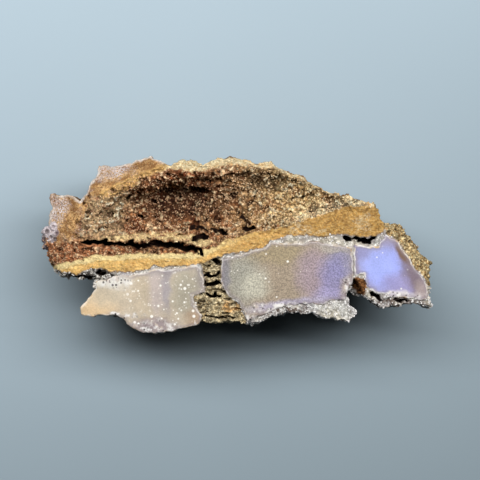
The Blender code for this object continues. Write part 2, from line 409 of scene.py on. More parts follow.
def drawPlan():
    x, y = gridPoints()
    plan = {"outline": outlineDistance(stone["outline"], *wandered(x, y, stone["raggedEdge"], 0))}
    lobeX, lobeY = wandered(x, y, lobeShape["raggedEdge"], 50)
    for name, outline in lobes.items():
        plan[name] = outlineDistance(outline, lobeX, lobeY)
    plan["anyLobe"] = np.minimum.reduce([plan[name] for name in lobes])
    zoneX, zoneY = wandered(x, y, [(0.5, 1.6), (0.2, 0.7)], 100)
    for name, (soft, outline) in zones.items():
        plan[name] = ease(outlineDistance(outline, zoneX, zoneY), soft, -soft)
    belowBand = edgeHeight(band["lower"], zoneX) - zoneY
    aboveBand = zoneY - edgeHeight(band["upper"], zoneX)
    other = (1 - plan["rightCrust"]) * (1 - plan["layers"])
    plan["breaks"] = np.maximum(plan["tanBreak"], plan["leftBreak"])
    plan["frost"] = np.maximum(plan["frostAbove"], plan["frostLeft"])
    plan["seam"] = ease(belowBand, -0.1, 0.3) * other
    plan["band"] = ease(belowBand, 0.25, -0.25) * ease(aboveBand, 0.4, 0) * (1 - plan["rightCrust"])
    plan["rim"] = ease(aboveBand, 0, 0.5)
    for name in ("sponge", "tanBreak", "leftBreak"):
        plan["rim"] = plan["rim"] * (1 - plan[name])
    plan["aboveBand"] = y - edgeHeight(band["upper"], x)
    wave = texturesAt(np.stack([x, y, x * 0 + 150], 1), {"wave": ("noise", (1.7, 1.7, 1.7), 1)})["wave"]
    opened = [half + vary * wave - lineDistance(line, zoneX, zoneY) for line, half, depth, vary in voids]
    plan["void"] = np.maximum.reduce(opened)
    depths = np.array([depth for _, _, depth, _ in voids], np.float32)
    plan["voidDepth"] = depths[np.argmax(opened, 0)]
    rough = texturesAt(np.stack([x, y, x * 0 + 200], 1), {
        "fine": ("noise", (1.3, 1.3, 1.3), 0), "middling": ("noise", (2.4, 2.4, 2.4), 0),
    })
    drop = stone["rockBelowSaw"] + plan["band"] * (0.12 + 0.15 * rough["middling"])
    drop += plan["seam"] * (0.25 + 0.22 * rough["fine"]) + plan["rim"] * (0.7 + 0.5 * rough["middling"])
    drop += np.maximum(plan["layers"], plan["rightCrust"]) * (0.45 + 0.3 * rough["fine"])
    plan["sawn"] = stone["height"] - np.maximum(drop, 0.05)
    return plan


print("drawing the plan")
planMaps = drawPlan()


def readPlan(x, y):
    nx, ny = planGrid["counts"]
    across = np.clip((x - planGrid["low"][0]) / planGrid["step"], 0, nx - 1.01)
    up = np.clip((y - planGrid["low"][1]) / planGrid["step"], 0, ny - 1.01)
    i, j = across.astype(np.int32), up.astype(np.int32)
    u, v = (across - i).astype(np.float32), (up - j).astype(np.float32)
    at = i * ny + j
    return {
        name: (1 - u) * ((1 - v) * drawn[at] + v * drawn[at + 1])
        + u * ((1 - v) * drawn[at + ny] + v * drawn[at + ny + 1])
        for name, drawn in planMaps.items()
    }


def hollowDistance(x, y, z, centre, halfSizes, turn, lean):
    c, s = math.cos(math.radians(turn)), math.sin(math.radians(turn))
    dx, dz = x - centre[0], z - centre[2]
    dy = y - centre[1] + lean * (z - stone["height"])
    local = (dx * c + dy * s, dy * c - dx * s, dz)
    reach = np.sqrt(sum((v / r) ** 2 for v, r in zip(local, halfSizes)))
    slope = np.sqrt(sum((v / r**2) ** 2 for v, r in zip(local, halfSizes)))
    return reach * (reach - 1) / np.maximum(slope, 1e-4)


def stoneSides(outline, x, y, z):
    # the stone without its sawn face and resting flat, before it weathered
    sides = outline
    for point, facing in stone["breaks"]:
        length = math.sqrt(sum(v * v for v in facing))
        facing = [f / length for f in facing]
        sides = np.maximum(sides, sum((v - p) * f for v, p, f in zip((x, y, z), point, facing)))
    for hollow in stone["hollows"]:
        sides = np.maximum(sides, -hollowDistance(x, y, z, *hollow))
    return sides


def weathered(sides, plan, textures, z):
    calm = (1 - 0.75 * plan["breaks"]) * (1 - 0.8 * ease(z, stone["height"] - 5, stone["height"] - 0.5))
    for depth, name in zip(stone["lumps"], ("largeLumps", "lumps", "smallLumps")):
        sides = sides + depth * calm * textures[name]
    return sides


def setBack(plan, textures, z):
    # how far crumbs and pits set the surface back, and out of the skin where this is below 0
    slope = ease(plan["aboveBand"], 7.0, 3.0) * plan["sponge"]
    streaked = np.clip(plan["layers"] + 0.6 * slope, 0, 1)
    pits = ease(textures["pits"] * (1 - streaked) + textures["streaks"] * streaked, *pores["open"])
    kinds = (textures["crumbs"] - pores["cellMean"], textures["grapes"] - pores["cellMean"], pits)

    def shaped(depths):
        return sum(depth * kind for depth, kind in zip(depths, kinds))

    low = ease(z, *pores["lowHeights"])
    back = pores["pocketDepth"] * ease(textures["pockets"], 0.3, 1.0) * plan["sponge"] * (1 - plan["ledge"])
    for name, depths in relief.items():
        back = back + shaped(depths) * plan[name] * (1 - low)
    return back + low * shaped(lowRelief)


def rockSkin(plan, textures, x, y, z):
    # the rock's outer surface, weathered, before any pore
    skin = weathered(stoneSides(plan["outline"], x, y, z), plan, textures, z)
    skin = np.minimum(skin, ballDistance(x, y, z, *stone["notch"]) + 0.5 * textures["lumps"])
    for nodule in leftNodules:
        skin = np.minimum(skin, ballDistance(x, y, z, *nodule))
    return np.maximum(np.maximum(skin, z - plan["sawn"]), -z)


def lobeSide(plan, textures, x, y, z):
    # how far a point is outside the stone's skin as the lobes have it
    covered = ease(z + 2.5 * textures["largeLumps"], *lobeShape["coveredBelow"])
    side = weathered(stoneSides(plan["outline"], x, y, z), plan, textures, z)
    return side + lobeShape["skinBelow"] + lobeShape["coveredBy"] * covered


def lobeBumps(textures, z):
    return 0.5 * textures["lumps"] * ease(z, stone["height"] - 0.5, stone["height"] - 5)


def betweenFlats(form, z):
    # cut off at the sawn face and at the flat that the stone rests on
    return np.maximum(np.maximum(form, z - stone["height"]), -z)


def rockForm(plan, textures, x, y, z):
    skin = rockSkin(plan, textures, x, y, z)
    bare = plan["bareLobe"] * ease(z, *lobeShape["bareHeights"])
    form = betweenFlats(skin + setBack(plan, textures, z) + lobeShape["bareEdge"] * bare, z)
    for (cx, cy, cz), radius in leftNodules:
        mouth = (cx, cy, cz + radius * noduleMouth["raised"])
        form = np.maximum(form, -ballDistance(x, y, z, mouth, radius * noduleMouth["radius"]))
    floor = stone["height"] - plan["voidDepth"] - z - pores["floorPits"] * textures["pits"]
    byCrumbs, byPits = pores["raggedCrack"]
    ragged = plan["void"] - byCrumbs * (textures["crumbs"] - pores["cellMean"])
    ragged = ragged + byPits * textures["pits"] * plan["sponge"]
    form = np.maximum(form, np.minimum(ragged, -floor))
    lobe = np.maximum(plan["anyLobe"] + lobeBumps(textures, z), lobeShape["bottom"] - z)
    lobe = np.maximum(lobe, lobeSide(plan, textures, x, y, z)) + lobeShape["rockOverlap"]
    return np.maximum(form, -lobe)


def lobeForm(name):
    def form(plan, textures, x, y, z):
        side = lobeSide(plan, textures, x, y, z)
        edge = np.maximum(plan[name] + lobeBumps(textures, z), lobeShape["bottom"] - z)
        return np.maximum(np.maximum(edge, side), z - stone["height"])
    return form


smallestBody = 1500  # points; loose crumbs and sealed bubbles have fewer, and are dropped


def mainBodies(piece):
    tree, entry, result = geometryTree("islands")
    island = treeNode(tree, "GeometryNodeInputMeshIsland").outputs["Island Index"]
    kept = treeNode(
        tree, "GeometryNodeStoreNamedAttribute",
        {"Geometry": entry.outputs[0], "Name": "island", "Value": island},
    )
    tree.links.new(kept.outputs[0], result.inputs[0])
    label = readStored(piece, tree, ["island"])["island"].astype(int)
    return np.bincount(label)[label] > smallestBody


def meshObject(name, points, quads):
    mesh = bpy.data.meshes.new(name)
    mesh.vertices.add(len(points))
    mesh.vertices.foreach_set("co", (points * mm).astype(np.float32).ravel())
    mesh.loops.add(quads.size)
    mesh.loops.foreach_set("vertex_index", quads.astype(np.int32).ravel())
    mesh.polygons.add(len(quads))
    mesh.polygons.foreach_set("loop_start", np.arange(0, quads.size, 4, dtype=np.int32))
    mesh.update(calc_edges=True)
    mesh.shade_smooth()
    piece = bpy.data.objects.new(name, mesh)
    bpy.context.scene.collection.objects.link(piece)
    return piece


def meshFromField(name, field, low, voxel):
    grid = openvdb.FloatGrid(shapedWithin)
    grid.copyFromArray(field.astype(np.float32))
    points, quads = grid.convertToQuads(isovalue=0)
    points = (points * voxel + low).astype(np.float32)
    a, b, c, d = (points[quads[:, n]] for n in range(4))
    volume = np.einsum("ij,ij->", a, np.cross(b, c)) + np.einsum("ij,ij->", a, np.cross(c, d))
    if volume < 0:
        quads = quads[:, ::-1]
    whole = meshObject(name, points, quads)
    kept = mainBodies(whole)
    bpy.data.meshes.remove(whole.data)
    number = np.cumsum(kept) - 1
    points, quads = points[kept], number[quads[kept[quads[:, 0]]]]
    print(name, len(quads) * 2, "triangles")
    return meshObject(name, points, quads), points


def skinFromForm(name, low, high, voxel, form, beyond):
    # a mesh of the surface where the form is 0, within the part of the stone where beyond is below 0
    low, high = np.array(low, np.float32), np.array(high, np.float32)
    counts = np.ceil((high - low) / voxel).astype(int) + 1
    x, y, z = (l + np.arange(n, dtype=np.float32) * voxel for l, n in zip(low, counts))
    plan = readPlan(*(v.ravel() for v in np.meshgrid(x, y, indexing="ij")))
    x, y, z = x[:, None, None], y[None, :, None], z[None, None, :]
    outline, above = (plan[key].reshape(len(x), -1, 1) for key in ("outline", "aboveBand"))
    field = stoneSides(outline, x, y, z)
    for ball in (stone["notch"], *leftNodules):
        field = np.minimum(field, ballDistance(x, y, z, *ball))
    field = np.maximum(betweenFlats(field, z), beyond(x, y, z, above))

    # the fine shape is only worked out near the plain stone's surface
    i, j, k = np.nonzero(np.abs(field) < shapedWithin)
    nearX, nearY, nearZ = x[i, 0, 0], y[0, j, 0], z[0, 0, k]
    nearPlan = {key: drawn[i * counts[1] + j] for key, drawn in plan.items()}
    textures = texturesAt(np.stack([nearX, nearY, nearZ], 1), rockTextures)
    past = beyond(nearX, nearY, nearZ, nearPlan["aboveBand"])
    shaped = form(nearPlan, textures, nearX, nearY, nearZ)
    field[i, j, k] = np.maximum(shaped + 0.3 * np.clip(past, 0, None), past - pieceOverlap)
    return meshFromField(name, field, low, voxel)


def keepValues(piece, values):
    for name, value in values.items():
        made = piece.data.attributes.new(name, "FLOAT", "POINT")
        made.data.foreach_set("value", np.asarray(value, np.float32))


shapedWithin = 5.5  # how far from the plain stone's surface the fine shape can reach
pieceOverlap = 0.5  # neighbouring pieces of the rock run on into each other this far
rockVoxel = {"fine": 0.25, "underside": 0.5}
rockSplit = {  # where one piece of the rock ends and the next begins
    "low": 18.5, "porousLeft": -28.0, "porousRight": -3.0, "seamLeft": -6.5, "seamRight": 21.0,
}


def fineRock(side, left=-99, right=99):
    # the fine rock between left and right, above the band's upper edge where side is -1 and below it where 1
    def beyond(x, y, z, above):
        past = np.maximum(side * above, rockSplit["low"] - z)
        return np.maximum(past, np.maximum(left - x, x - right))

    return beyond


def undersideRock(x, y, z, above):
    return z - rockSplit["low"]


# each piece of the rock: the low and the high corner of its box, and how far a point is beyond it
rockPieces = {
    "porous_rock_left": (
        (-54, -8, 17), (rockSplit["porousLeft"] + 1, 26, 33), fineRock(-1, right=rockSplit["porousLeft"]),
    ),
    "porous_rock_middle": (
        (rockSplit["porousLeft"] - 1, -6, 17), (rockSplit["porousRight"] + 1, 26, 33),
        fineRock(-1, rockSplit["porousLeft"], rockSplit["porousRight"]),
    ),
    "porous_rock_right": (
        (rockSplit["porousRight"] - 1, 0, 17), (43, 26, 33), fineRock(-1, rockSplit["porousRight"]),
    ),
    "seam_rock_left": (
        (-54, -26, 17), (rockSplit["seamLeft"] + 1, 3, 33), fineRock(1, right=rockSplit["seamLeft"]),
    ),
    "seam_rock_middle": (
        (rockSplit["seamLeft"] - 1, -26, 17), (rockSplit["seamRight"] + 1, 12, 33),
        fineRock(1, rockSplit["seamLeft"], rockSplit["seamRight"]),
    ),
    "seam_rock_right": (
        (rockSplit["seamRight"] - 1, -22, 17), (54, 13, 33), fineRock(1, rockSplit["seamRight"]),
    ),
    "underside_rock": ((-54, -26, -1), (54, 26, 20), undersideRock),
}


# the left end slopes away and looks smaller than its outline from above, so it is drawn out
leftEnd = {"x": (-30.0, -48.0), "y": (-13.0, -9.0), "out": 1.0, "up": 0.7, "upFrom": (4.0, 12.0)}

# the thin vein between the middle and the right lobe
thinVein = {"x": 31.3, "reach": 1.3, "lowest": -8.2}


def drawOut(piece, points):
    x, y, z = points.T
    west = ease(x, *leftEnd["x"]) * ease(y, *leftEnd["y"])
    up = leftEnd["up"] * ease(y, *leftEnd["upFrom"])
    moved = np.stack([x - leftEnd["out"] * west, y + up * west, z], axis=1)
    piece.data.vertices.foreach_set("co", np.float32(moved * mm).ravel())
    piece.data.update()


def makeRock(name):
    low, high, beyond = rockPieces[name]
    voxel = rockVoxel["underside" if name == "underside_rock" else "fine"]
    piece, points = skinFromForm(name, low, high, voxel, rockForm, beyond)
    x, y, z = points.T
    plan = readPlan(x, y)
    textures = texturesAt(points, rockTextures)
    values = {key: plan[key] for key in rockMasks}
    values["inPore"] = np.clip(-rockSkin(plan, textures, x, y, z), -1, 3)
    values["nodules"] = np.zeros(len(points), np.float32)
    for nodule in leftNodules:
        values["nodules"] = np.maximum(values["nodules"], ease(ballDistance(x, y, z, *nodule), 0.5, 0.1))
    # where painted shade darkens the cracks: within them, from just below the sawn face to 9 mm under it
    top = stone["height"]
    inside = ease(z, top, top - 1.5) * ease(z, top - 9, top - 7)
    values["inVoid"] = np.clip(plan["void"] + 0.3, 0, 1) * inside

    # where grains cling: not in a crack, in the cleft or on the thin vein between two lobes
    whole = 1 - ease(plan["void"], -0.6, 0.0)
    vein = (np.abs(x - thinVein["x"]) < thinVein["reach"]) & (y > thinVein["lowest"])
    sparse = 1 - 0.7 * (y > -4)
    values["spongeGrains"] = plan["sponge"] * whole
    values["seamGrains"] = plan["seam"] * whole * sparse * (1 - plan["cleft"]) * ~vein
    keepValues(piece, values)
    drawOut(piece, points)
    return piece


def nothingBeyond(x, y, z, above):
    return z - 99


def makeLobe(name):
    outline = lobes[name]
    low = (min(p[0] for p in outline) - 1, min(p[1] for p in outline) - 1, lobeShape["bottom"] - 1)
    high = (max(p[0] for p in outline) + 1, max(p[1] for p in outline) + 1, stone["height"] + 0.9)
    piece, points = skinFromForm(name, low, high, lobeShape["voxel"], lobeForm(name), nothingBeyond)
    keepValues(piece, {"fromEdge": np.clip(-readPlan(points[:, 0], points[:, 1])[name], 0, 9)})
    return piece


print("making the rock")
rocks = [makeRock(name) for name in rockPieces]
print("making the lobes of the seam")
seam = [makeLobe(name) for name in lobes]


def linear(red, green, blue):
    # a colour given from 0 to 255, as a paint program shows it, for a node
    return (*[(v / 255) ** 2.2 for v in (red, green, blue)], 1)


def treeOf(*values):
    # the node tree of the first socket among the values
    return next(value.id_data for value in values if isinstance(value, bpy.types.NodeSocket))


def math2(operation, a, b):
    return treeNode(treeOf(a, b), "ShaderNodeMath", {0: a, 1: b}, operation=operation).outputs[0]


def times(a, b):
    return math2("MULTIPLY", a, b)


def plus(a, b):
    return math2("ADD", a, b)


def most(a, b):
    return math2("MAXIMUM", a, b)


def rest(mask):
    # what a mask leaves of 1
    return math2("SUBTRACT", 1.0, mask)


def between(value, start, end):
    # a mask that rises smoothly from 0 at start to 1 at end
    return treeNode(
        treeOf(value), "ShaderNodeMapRange", {"Value": value, "From Min": start, "From Max": end},
        interpolation_type="SMOOTHSTEP",
    ).outputs[0]


def vectorMath(operation, a, b):
    return treeNode(treeOf(a, b), "ShaderNodeVectorMath", {0: a, 1: b}, operation=operation).outputs[0]


def scaled(vector, by):
    tree = treeOf(vector)
    return treeNode(tree, "ShaderNodeVectorMath", {0: vector, "Scale": by}, operation="SCALE").outputs[0]


def flattened(vector):
    return vectorMath("MULTIPLY", vector, (1, 1, 0))


def axes(vector):
    return treeNode(treeOf(vector), "ShaderNodeSeparateXYZ", {0: vector}).outputs


def channels(colour):
    return treeNode(treeOf(colour), "ShaderNodeSeparateColor", {0: colour}).outputs


def grey(value):
    return treeNode(treeOf(value), "ShaderNodeCombineColor", {0: value, 1: value, 2: value}).outputs[0]


def mixColour(factor, under, over, blend="MIX"):
    mix = treeNode(
        treeOf(factor, under, over), "ShaderNodeMix", {0: factor, 6: under, 7: over},
        data_type="RGBA", blend_type=blend,
    )
    return mix.outputs[2]


def stored(tree, name):
    return treeNode(tree, "ShaderNodeAttribute", attribute_name=name).outputs["Fac"]


def shaderGroup(name, inputs, outputs):
    tree = bpy.data.node_groups.new(name, "ShaderNodeTree")
    for label, value in {"Place": (0, 0, 0), **inputs}.items():
        kind = "NodeSocketVector" if isinstance(value, tuple) else "NodeSocketFloat"
        socket = tree.interface.new_socket(label, in_out="INPUT", socket_type=kind)
        socket.default_value = value
    for label in outputs:
        tree.interface.new_socket(label, in_out="OUTPUT", socket_type="NodeSocketFloat")
    return tree, tree.nodes.new("NodeGroupInput").outputs, tree.nodes.new("NodeGroupOutput").inputs


def grainGroup():
    # soft noise of a given size, as a mask about 0 to 1
    asked = {"Size": (1, 1, 1), "Detail": 2.0, "From": 0.35, "To": 0.65}
    tree, inputs, outputs = shaderGroup("grain", asked, ["Mask"])
    place = vectorMath("DIVIDE", inputs["Place"], inputs["Size"])
    noise = treeNode(tree, "ShaderNodeTexNoise", {"Vector": place, "Scale": 1, "Detail": inputs["Detail"]})
    mask = treeNode(
        tree, "ShaderNodeMapRange",
        {"Value": noise.outputs[0], "From Min": inputs["From"], "From Max": inputs["To"]},
    )
    tree.links.new(mask.outputs[0], outputs["Mask"])
    return tree


def speckGroup():
    # small round specks, some in every few cells
    tree, inputs, outputs = shaderGroup("specks", {"Spacing": 2.0, "Radius": 0.25, "Share": 0.5}, ["Mask"])
    scale = math2("DIVIDE", 1.0, inputs["Spacing"])
    cells = treeNode(tree, "ShaderNodeTexVoronoi", {"Vector": inputs["Place"], "Scale": scale})
    chance, size = channels(cells.outputs["Color"])[:2]
    chosen = math2("LESS_THAN", chance, inputs["Share"])
    radius = times(times(inputs["Radius"], scale), plus(0.5, size))
    mask = between(cells.outputs["Distance"], radius, times(radius, 0.55))
    tree.links.new(times(mask, chosen), outputs["Mask"])
    return tree


def spotGroup():
    # a soft oval spot, 1 in the middle and 0 at the edge
    tree, inputs, outputs = shaderGroup(
        "soft spot", {"Centre": (0, 0, 0), "Half Sizes": (1, 1, 1), "Turn": (0, 0, 0)}, ["Mask"]
    )
    local = treeNode(
        tree, "ShaderNodeMapping",
        {"Vector": inputs["Place"], "Location": inputs["Centre"], "Rotation": inputs["Turn"],
         "Scale": inputs["Half Sizes"]},
        vector_type="TEXTURE",
    )
    flat = flattened(local.outputs[0])
    away = treeNode(tree, "ShaderNodeVectorMath", {0: flat}, operation="LENGTH").outputs["Value"]
    tree.links.new(between(away, 1.25, 0.35), outputs["Mask"])
    return tree


def crumbGroup():
    # rounded crumbs packed together: 1 at the middle of each and 0 in the gaps, and a random tone for each
    tree, inputs, outputs = shaderGroup("crumbs", {"Across": 1.0}, ["Mask", "Tone"])
    bend = treeNode(tree, "ShaderNodeTexNoise", {"Vector": inputs["Place"], "Scale": 1.6, "Detail": 2.0})
    bent = vectorMath("ADD", inputs["Place"], scaled(bend.outputs["Color"], 0.9))
    scale = math2("DIVIDE", 1.0, inputs["Across"])
    cells = treeNode(tree, "ShaderNodeTexVoronoi", {"Vector": bent, "Scale": scale})
    tree.links.new(between(cells.outputs["Distance"], 0.75, 0.15), outputs["Mask"])
    tree.links.new(channels(cells.outputs["Color"])[0], outputs["Tone"])
    return tree


effects = {"grain": grainGroup(), "specks": speckGroup(), "spot": spotGroup(), "crumbs": crumbGroup()}


def effect(name, place, **values):
    inputs = {label.replace("_", " "): value for label, value in values.items()}
    node = treeNode(treeOf(place), "ShaderNodeGroup", {"Place": place, **inputs}, node_tree=effects[name])
    return node.outputs["Mask"]


def grain(place, size, start, end, detail=2.0, stretch=(1, 1, 1), shift=0.0):
    # lumps of a size, as a mask that is 0 below start and 1 above end
    # a shift takes another part of the noise
    if shift:
        place = vectorMath("ADD", place, (shift, shift, shift))
    return effect("grain", place, Size=[size * s for s in stretch], Detail=detail, From=start, To=end)


def specks(place, spacing, radius, share):
    return effect("specks", place, Spacing=spacing, Radius=radius, Share=share)


def spot(place, centre, half, turn=0):
    return effect("spot", place, Centre=(*centre, 0), Half_Sizes=(*half, 1), Turn=(0, 0, math.radians(turn)))


def drifted(place, scale, detail, reach):
    # the place moved to and fro by a slow noise, so that the edge of a spot wanders
    noise = treeNode(treeOf(place), "ShaderNodeTexNoise", {"Vector": place, "Scale": scale, "Detail": detail})
    drift = vectorMath("SUBTRACT", noise.outputs["Color"], (0.5, 0.5, 0.5))
    return vectorMath("ADD", place, scaled(drift, reach))


def newLook(name):
    look = bpy.data.materials.new(name)
    look.use_nodes = True
    tree = look.node_tree
    place = treeNode(tree, "ShaderNodeTexCoord").outputs["Object"]
    return look, tree, tree.nodes["Principled BSDF"], scaled(place, 1 / mm)


def paint(shader, colour, roughness, height, strength, depth):
    # a colour, a roughness, and a fine relief of some strength and depth in mm
    tree = shader.id_data
    bump = treeNode(tree, "ShaderNodeBump", {"Strength": strength, "Distance": depth * mm, "Height": height})
    tree.links.new(colour, shader.inputs["Base Color"])
    tree.links.new(roughness, shader.inputs["Roughness"])
    tree.links.new(bump.outputs[0], shader.inputs["Normal"])


rockColours = {
    "brown": (160, 122, 86), "darkBrown": (124, 88, 58),
    # the tip colours here and below are partly the crumbs' own paler tone and partly a painted highlight on
    # raised crumbs
    "spongeDark": (108, 60, 41), "sponge": (206, 142, 96), "spongeTip": (255, 220, 172),
    "rust": (172, 84, 48),
    "rightDark": (206, 156, 98), "right": (255, 230, 170), "rightTip": (255, 248, 214),
    "olive": (236, 202, 154), "oliveTip": (255, 244, 212), "red": (206, 136, 94), "redTip": (252, 206, 160),
    "bandLeft": (236, 192, 116), "bandRight": (192, 146, 78), "bandOrange": (226, 164, 90),
    "bandPale": (250, 228, 168), "bandBrown": (140, 104, 62), "bandWhite": (238, 224, 192),
    # the first is the rim's pale rock, made paler still by a painted highlight
    "rim": (255, 235, 190), "rimShade": (206, 158, 98), "ledge": (255, 228, 168), "step": (242, 194, 122),
    "tan": (230, 182, 124), "tanDark": (146, 102, 62), "tanLight": (236, 204, 150),
    # the second is a painted highlight for the facets' top edges
    "frost": (236, 222, 222), "edge": (246, 238, 230),
    "cleft": (156, 108, 66), "cleftDark": (74, 46, 28), "crustGrey": (160, 152, 156),
    "crustBrown": (104, 84, 72),
    # painted shade for the pits under the band
    "underBandShade": (58, 50, 46),
    "layers": (246, 228, 186), "layersDark": (164, 138, 96), "crust": (234, 234, 230),
    # painted shade for the gaps between the crust's crumbs
    "crustGapShade": (138, 130, 118),
    "rightCrust": (240, 218, 168), "rightBrown": (184, 140, 84), "nodule": (222, 210, 214),
    # painted shade for the nodules' lower halves and mouths
    "noduleShade": (98, 68, 72),
    # the first two are painted shade, for the pores and the cracks
    "poreShade": (46, 25, 17), "void": (30, 17, 11), "under": (158, 132, 100), "underGrey": (188, 172, 148),
    # painted shade for the floor of the hollow
    "paintedDeepShade": (40, 22, 15),
}

# soft spots of colour on the rock: centre and half sizes, and in some a turn and a strength
rockSpots = {
    "rust": ((-15.8, 19.4), (6.0, 2.6), 8),
    "bandWhite": [((17.0, 4.4), (3.4, 1.5)), ((22.6, 2.8), (2.4, 1.3)), ((34.0, 5.5), (3.0, 2.4))],
    "orangeLayers": ((-1.0, -17.8), (2.6, 1.8)),
    "whiteBulge": ((27.5, -19.0), (5.0, 3.5)),
    "pittedBulge": ((27.5, -18.0), (7.0, 4.5)),
    "brownCrust": [((44.0, -16.2), (9.0, 1.3)), ((13.5, -18.6), (7.0, 1.2)), ((37.5, -14.6), (2.4, 1.6))],
    # where painted shade darkens the nodules' mouths
    "noduleMouths": [((-49.2, 2.8), (0.8, 1.4)), ((-47.2, 5.2), (1.0, 1.0)), ((-46.8, 1.4), (1.1, 0.9))],
    # where shade is painted in the hollow: centre, half sizes, turn and strength
    "paintedDeepShade": [
        ((-15.0, 11.4), (13.5, 5.6), 4, 0.8), ((7.5, 17.2), (9.0, 4.0), 0, 0.6),
        ((-29.0, -0.9), (10.0, 1.3), 0, 0.4),
        ((-33.0, 6.5), (4.0, 3.0), 0, 0.25), ((1.0, 11.0), (5.0, 3.0), 0, 0.3),
    ],
}

# colours that the three lobes share
lobeColours = {
    # the first is white specks, partly inclusions and partly painted glints
    "speckAndGlint": (246, 243, 236), "margin": (134, 124, 132), "rind": (226, 222, 216), "stain": (196, 166, 118),
    "crustShade": (176, 168, 168), "crustWhite": (236, 234, 230), "crustStain": (150, 118, 84),
    # painted shade for the crust's small pits
    "pitShade": (70, 62, 60),
    "worn": (198, 190, 176), "wornBrown": (150, 126, 98), "wornChalk": (226, 222, 214),
    "wornDark": (112, 94, 80),
}
colours = {name: linear(*value) for name, value in {**rockColours, **lobeColours}.items()}


def coat(under, mask, over, strength=1.0):
    # one colour over another, each given as a value or by its name
    under, over = (colours[value] if isinstance(value, str) else value for value in (under, over))
    return mixColour(mask if strength == 1.0 else times(mask, strength), under, over)


def readMasks(tree, place):
    # what the looks of the rock's zones share: the zones themselves, mottling, crumbs, and where a point lies
    mask = {name: stored(tree, name) for name in (*rockMasks, "inPore", "inVoid", "nodules")}
    mask["x"], _, mask["z"] = axes(place)
    mask["east"] = between(mask["x"], -14.0, 18.0)
    mask["farEast"] = between(mask["x"], 8.0, 26.0)
    mask["fine"] = grain(place, 0.5, 0.36, 0.64)
    mask["coarse"] = grain(place, 3.0, 0.36, 0.64, 3.0, shift=40.0)
    mask["patch"] = grain(place, 6.5, 0.4, 0.6, shift=80.0)
    mask["pale"] = plus(0.5, times(mask["fine"], 0.5))
    mask["roughHeight"] = plus(mask["z"], times(mask["coarse"], 3.0))
    lumpy = grain(place, 2.4, 0.44, 0.56, shift=101.0)
    small, large = (effect("crumbs", place, Across=across) for across in (0.58, 1.05))
    smallTone, largeTone = (crumb.node.outputs["Tone"] for crumb in (small, large))
    mask["crumb"] = plus(times(small, rest(lumpy)), times(large, lumpy))
    mask["tone"] = plus(times(smallTone, rest(lumpy)), times(largeTone, lumpy))
    # raised crumbs; the tips are each crumb's own paler tone together with a painted highlight on crumbs that
    # stand out
    mask["lifted"] = between(mask["inPore"], 0.5, -0.4)
    mask["tip"] = between(plus(times(mask["lifted"], 0.7), times(mask["tone"], 0.6)), 0.55, 1.05)
    return mask


def spongeColour(place, loose, mask):
    left = coat(coat("spongeDark", mask["tone"], "sponge"), mask["tip"], "spongeTip", 0.9)
    right = coat(coat("rightDark", mask["tone"], "right"), mask["tip"], "rightTip", 0.9)
    sponge = coat(left, most(mask["east"], times(mask["patch"], 0.3)), right, 0.92)
    sponge = coat(sponge, times(mask["farEast"], between(mask["aboveBand"], 5.5, 0.5)), "rightTip", 0.5)
    rusty = most(spot(loose, *rockSpots["rust"]), times(grain(place, 4.0, 0.52, 0.62, shift=130.0), 0.6))
    return coat(sponge, times(rusty, rest(times(mask["tip"], 0.5))), "rust", 0.6)


def rimColour(place, mask):
    rim = coat("rim", grain(place, 0.8, 0.46, 0.68, 3.0, shift=9.0), "rimShade", 0.8)
    return coat(rim, times(grain(place, 1.5, 0.48, 0.62, shift=19.0), mask["east"]), "rightDark", 0.7)


def breakColour(place, mask):
    tan = coat("tanDark", grain(place, 2.0, 0.36, 0.64, 3.0, (2.2, 1, 1), 44.0), "tan")
    tan = coat(tan, grain(place, 0.45, 0.48, 0.6, shift=51.0), "tanDark", 0.85)
    frosted = plus(times(mask["frost"], 0.9), times(grain(place, 4.0, 0.52, 0.66, shift=66.0), 0.5))
    tan = coat(tan, times(frosted, grain(place, 0.4, 0.4, 0.56, shift=60.0)), "frost", 0.72)
    tan = coat(tan, grain(place, 0.34, 0.54, 0.64, shift=57.0), "tanLight", 0.45)
    # a painted highlight along the top edges of the facets
    edgeHighlight = times(between(mask["outline"], -0.8, -0.25), between(mask["z"], 24.0, 26.0))
    return coat(tan, times(edgeHighlight, plus(0.35, times(mask["coarse"], 0.65))), "edge", 0.95)


def bandColour(place, loose, mask):
    streak = grain(place, 0.7, 0.38, 0.62, 2.5, (4.5, 1, 1), 15.0)
    ochre = coat("bandLeft", between(mask["x"], -18.0, 30.0), "bandRight")
    ochre = coat(ochre, times(streak, rest(times(mask["farEast"], 0.7))), "bandOrange", 0.55)
    ochre = coat(ochre, mask["fine"], "bandPale", 0.28)
    brown = times(grain(place, 0.9, 0.48, 0.68, 3.5, (1.6, 1, 1), 33.0), mask["east"])
    ochre = coat(ochre, brown, "bandBrown", 0.75)
    ochre = coat(ochre, grain(place, 0.5, 0.54, 0.66, 3.0, (2.6, 1, 1), 91.0), "bandBrown", 0.5)
    upperEdge = between(plus(mask["aboveBand"], times(streak, 0.7)), -1.5, -0.5)
    ochre = coat(ochre, times(upperEdge, between(mask["x"], 6.0, -12.0)), "bandPale", 0.85)
    for centre, half in rockSpots["bandWhite"]:
        ochre = coat(ochre, times(spot(loose, centre, half), mask["fine"]), "bandWhite", 0.45)
    return ochre


def layersColour(loose, mask):
    layers = coat("layersDark", most(mask["tip"], mask["fine"]), "layers")
    return coat(layers, times(spot(loose, *rockSpots["orangeLayers"]), mask["pale"]), "bandOrange", 0.9)


